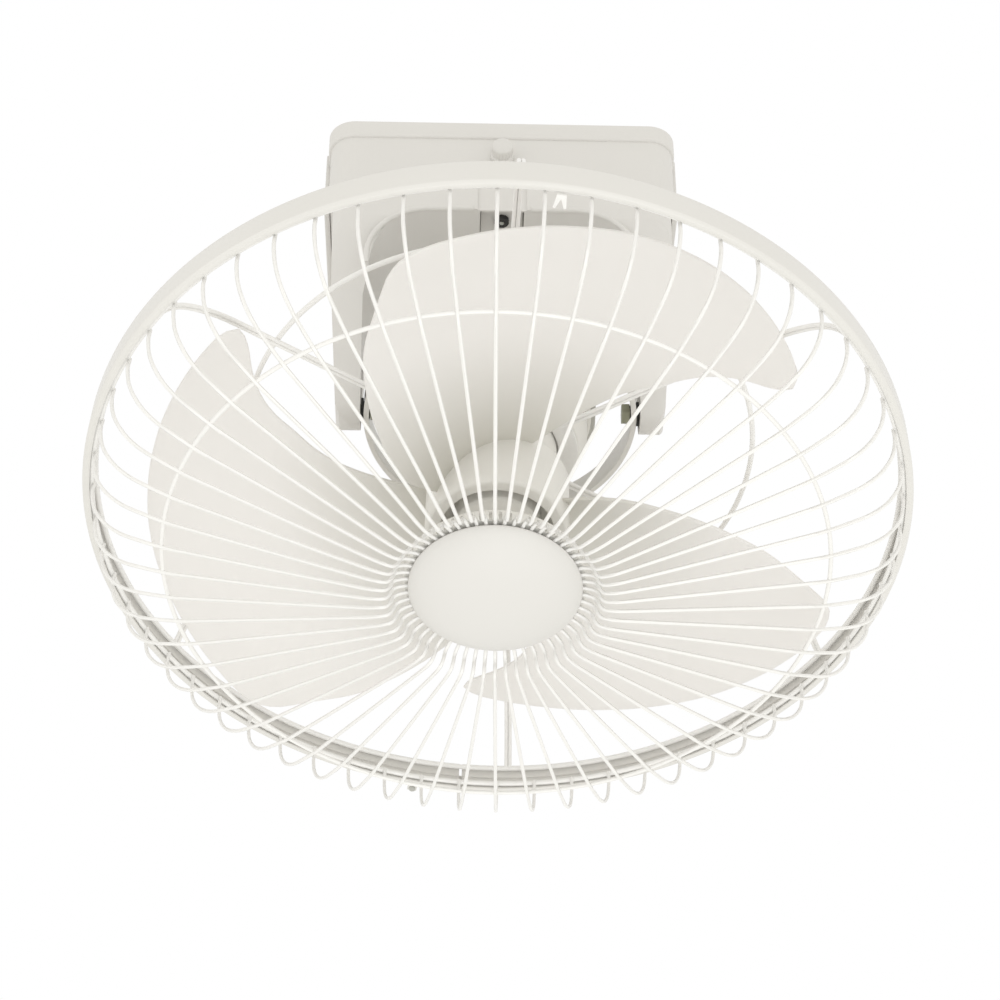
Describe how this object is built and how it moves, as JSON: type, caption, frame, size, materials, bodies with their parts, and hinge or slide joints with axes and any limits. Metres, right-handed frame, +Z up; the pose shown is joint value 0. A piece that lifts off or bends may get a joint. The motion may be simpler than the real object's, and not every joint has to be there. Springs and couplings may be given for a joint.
{
  "type": "orbital ceiling fan",
  "caption": "Caged three-blade fan head that circles on a gimbal ring under an arched ceiling base.",
  "frame": {"origin": "centre of the ceiling face of the mounting plate", "axes": "+Z up into the ceiling, the fan hangs toward -Z; -Y is the side with the cover knob, toward which the head leans at rest; X runs through the two legs"},
  "size_m": [0.4572, 0.4564, 0.3466],
  "materials": {
    "zinc": "zinc plated",
    "dark_steel": "phosphated",
    "ivory": "satin ivory moulding",
    "wire_white": "ivory powder coat",
    "blade_white": "satin, slightly translucent",
    "housing_grey": "warm grey paint",
    "black_rubber": "matt",
    "copper": "enamelled wire",
    "nylon": "matt",
    "lead_white": "soft sheath"
  },
  "bodies": {
    "base": {"ceiling_plate": "zinc", "base_frame": "zinc", "frame_screw_1": "dark_steel", "frame_screw_2": "dark_steel", "base_cover": "ivory", "canopy_sleeve": "ivory", "cover_catch": "ivory", "catch_bush": "black_rubber", "catch_pin": "zinc", "seat_post": "housing_grey", "seat_bush": "black_rubber", "terminal_block": "nylon", "run_capacitor": "dark_steel", "cable_gland": "black_rubber", "pivot_bolt_left": "dark_steel", "pivot_nut_left": "dark_steel", "pivot_bolt_right": "dark_steel", "pivot_nut_right": "dark_steel", "lead_upper": "lead_white"},
    "knob": {"cover_knob": "ivory"},
    "ring": {"gimbal_ring": "wire_white", "pivot_bush_left": "black_rubber", "pivot_bush_right": "black_rubber", "head_bolt_front": "dark_steel", "head_bolt_rear": "dark_steel", "lead_clip": "nylon", "lead_lower": "lead_white"},
    "head": {"motor_yoke": "zinc", "head_bush_front": "black_rubber", "head_bush_rear": "black_rubber", "motor_front": "housing_grey", "motor_rear": "housing_grey", "bearing_front": "zinc", "bearing_rear": "zinc", "stator_core": "dark_steel", "winding_rear": "copper", "winding_front": "copper", "swing_housing": "housing_grey", "swing_motor": "zinc", "rear_guard": "wire_white", "rear_ring": "wire_white", "guard_screw_1": "zinc", "guard_screw_2": "zinc", "guard_screw_3": "zinc", "guard_band": "wire_white", "clasp_lug": "wire_white", "clasp_pin": "zinc", "front_guard": "wire_white", "guard_clip": "wire_white", "front_cap": "ivory", "cap_plate": "housing_grey", "cap_screw": "zinc", "lead_grommet": "black_rubber"},
    "clasp": {"clasp_lever": "wire_white"},
    "rotor": {"impeller": "blade_white", "rotor_core": "zinc", "shaft": "zinc", "blade_nut": "housing_grey"},
    "crank": {"crank_disc": "nylon", "crank_stud": "zinc"}
  },
  "joints": [
    {"name": "ring_tilt", "type": "hinge", "parent": "base", "child": "ring", "pos_m": [0, 0, -0.175], "axis": [1, 0, 0], "range_deg": [0, 22.86], "deforming": ["lead_upper"]},
    {"name": "head_tilt", "type": "hinge", "parent": "ring", "child": "head", "pos_m": [0, 0, -0.175], "axis": [0, 0.9802, -0.1982], "range_deg": [-12.75, 10.25], "deforming": ["lead_lower"]},
    {"name": "blade_spin", "type": "hinge", "parent": "head", "child": "rotor", "pos_m": [0, 0, -0.175], "axis": [0.0219, 0.1981, 0.9799], "continuous": true},
    {"name": "orbit_crank", "type": "hinge", "parent": "head", "child": "crank", "pos_m": [0, 0, -0.175], "axis": [0.0219, 0.1981, 0.9799], "continuous": true},
    {"name": "knob_turn", "type": "hinge", "parent": "base", "child": "knob", "pos_m": [0, -0.0583, -0.0274], "axis": [0, -1, 0], "range_deg": [0, 90]},
    {"name": "clasp_swing", "type": "hinge", "parent": "head", "child": "clasp", "pos_m": [-0.04897, 0.20789, -0.29757], "axis": [0.0219, 0.1981, 0.9799], "range_deg": [0, 100]}
  ]
}
